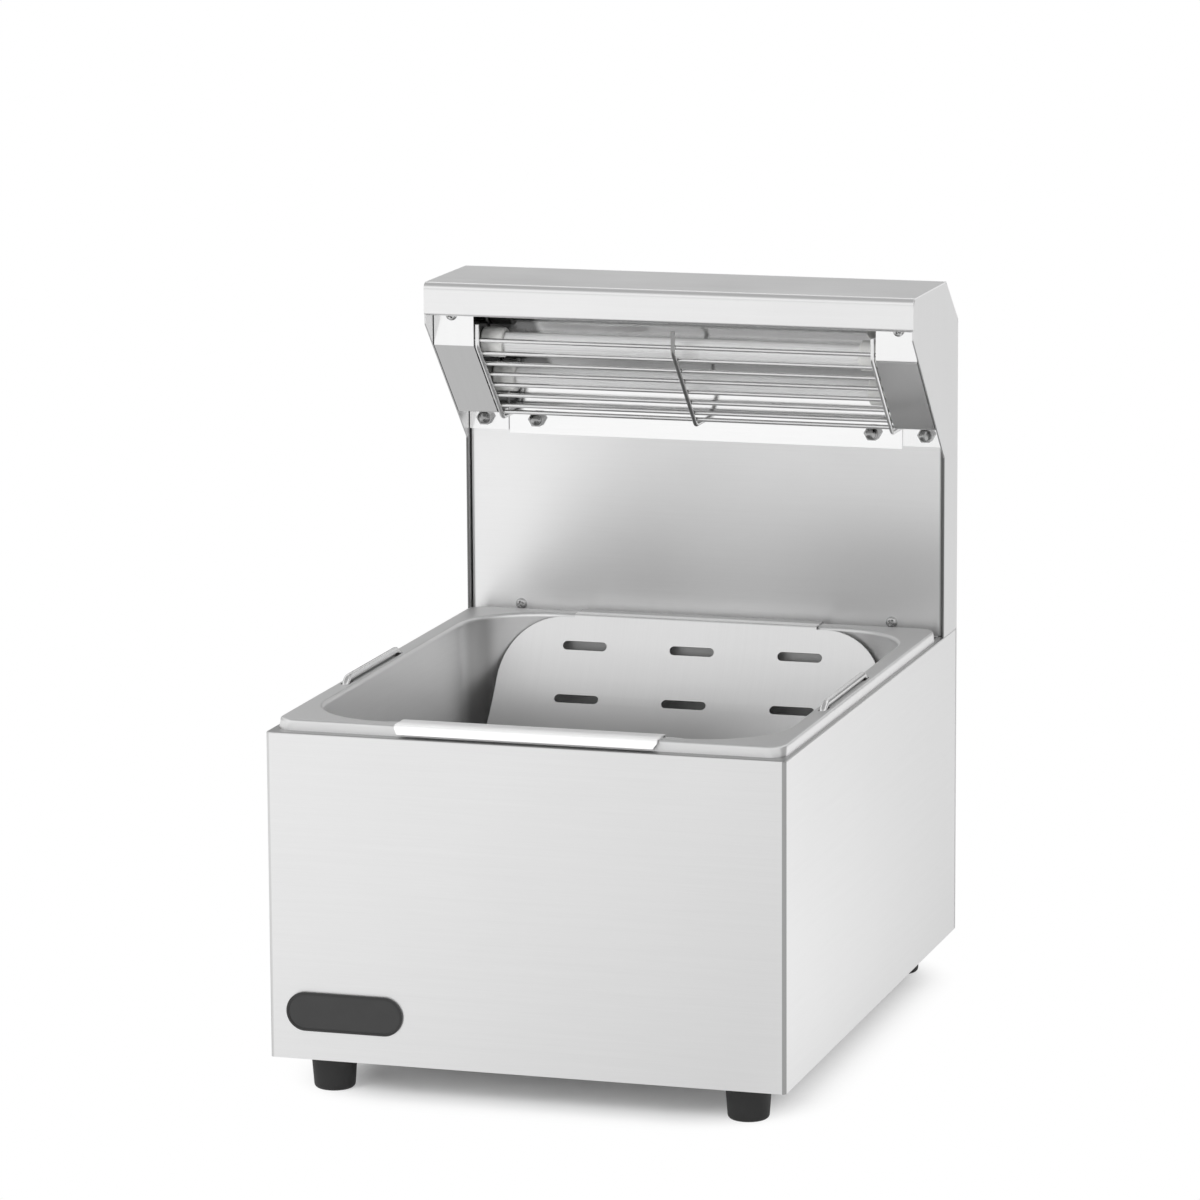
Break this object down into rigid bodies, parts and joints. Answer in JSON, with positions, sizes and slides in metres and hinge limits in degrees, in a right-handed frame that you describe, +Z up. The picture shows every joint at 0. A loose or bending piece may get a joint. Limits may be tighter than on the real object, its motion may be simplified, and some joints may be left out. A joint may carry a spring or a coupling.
{
  "type": "countertop fry warmer",
  "caption": "Sheet steel countertop fry warmer: a box with a lift-out pan and slotted curved insert, and quartz heat lamps behind a wire guard in a hood on a rear column.",
  "frame": {"origin": "on the table, under the middle of the overall length and width", "axes": "+X to the user's right, +Y from the front to the back, +Z up"},
  "size_m": [0.35, 0.482, 0.495],
  "materials": {
    "stainless_sheet": "satin brushed",
    "bright_steel": "bright",
    "polished_reflector": "polished",
    "badge": "satin black",
    "foot_rubber": "matt",
    "quartz": "frosted",
    "element": "oxidised",
    "lamp_cap": "glazed ceramic",
    "black_plastic": "moulded",
    "terminal": "moulded",
    "lead": "silicone sleeve"
  },
  "bodies": {
    "housing": {"badge_plate": "badge", "base_plate": "stainless_sheet", "body_back_panel": "stainless_sheet", "body_back_screws": "bright_steel", "body_shell": "stainless_sheet", "bracket_bolts": "bright_steel", "bracket_screws": "bright_steel", "cable_gland": "black_plastic", "column_back_cover": "stainless_sheet", "column_back_screws": "bright_steel", "column_splash": "stainless_sheet", "dome_nuts": "bright_steel", "foot_front_left": "foot_rubber", "foot_front_right": "foot_rubber", "foot_nuts": "bright_steel", "foot_rear_left": "foot_rubber", "foot_rear_right": "foot_rubber", "foot_screws": "bright_steel", "gland_locknut": "black_plastic", "heating_element_lower": "element", "heating_element_upper": "element", "hood_clip_left": "stainless_sheet", "hood_clip_right": "stainless_sheet", "hood_cover": "stainless_sheet", "lamp_bracket_left": "stainless_sheet", "lamp_bracket_right": "stainless_sheet", "lamp_cap_lower_left": "lamp_cap", "lamp_cap_lower_right": "lamp_cap", "lamp_cap_upper_left": "lamp_cap", "lamp_cap_upper_right": "lamp_cap", "lamp_guard": "bright_steel", "lamp_leads_left": "lead", "lamp_leads_right": "lead", "lamp_tube_lower": "quartz", "lamp_tube_upper": "quartz", "rear_deck": "stainless_sheet", "reflector": "polished_reflector", "side_panel_left": "stainless_sheet", "side_panel_right": "stainless_sheet", "splash_screws": "bright_steel", "switch_housing": "black_plastic", "switch_leads": "lead", "terminal_block": "terminal"},
    "pan": {"food_pan": "stainless_sheet", "handle_guide_left": "stainless_sheet", "handle_guide_right": "stainless_sheet"},
    "insert": {"fry_insert": "stainless_sheet"},
    "handle_left": {"handle_left": "bright_steel"},
    "handle_right": {"handle_right": "bright_steel"},
    "rocker": {"switch_rocker": "black_plastic"}
  },
  "joints": [
    {"name": "pan_lift", "type": "slide", "parent": "housing", "child": "pan", "axis": [0, 0, 1], "range_m": [0, 0.06]},
    {"name": "insert_lift", "type": "slide", "parent": "pan", "child": "insert", "axis": [0, 0, 1], "range_m": [0, 0.06]},
    {"name": "handle_left_lift", "type": "slide", "parent": "pan", "child": "handle_left", "axis": [0, 0, 1], "range_m": [0, 0.03]},
    {"name": "handle_right_lift", "type": "slide", "parent": "pan", "child": "handle_right", "axis": [0, 0, 1], "range_m": [0, 0.03]},
    {"name": "rocker_tilt", "type": "hinge", "parent": "housing", "child": "rocker", "pos_m": [0.09, 0.2224, 0.369], "axis": [1, 0, 0], "range_deg": [0, 12]}
  ]
}
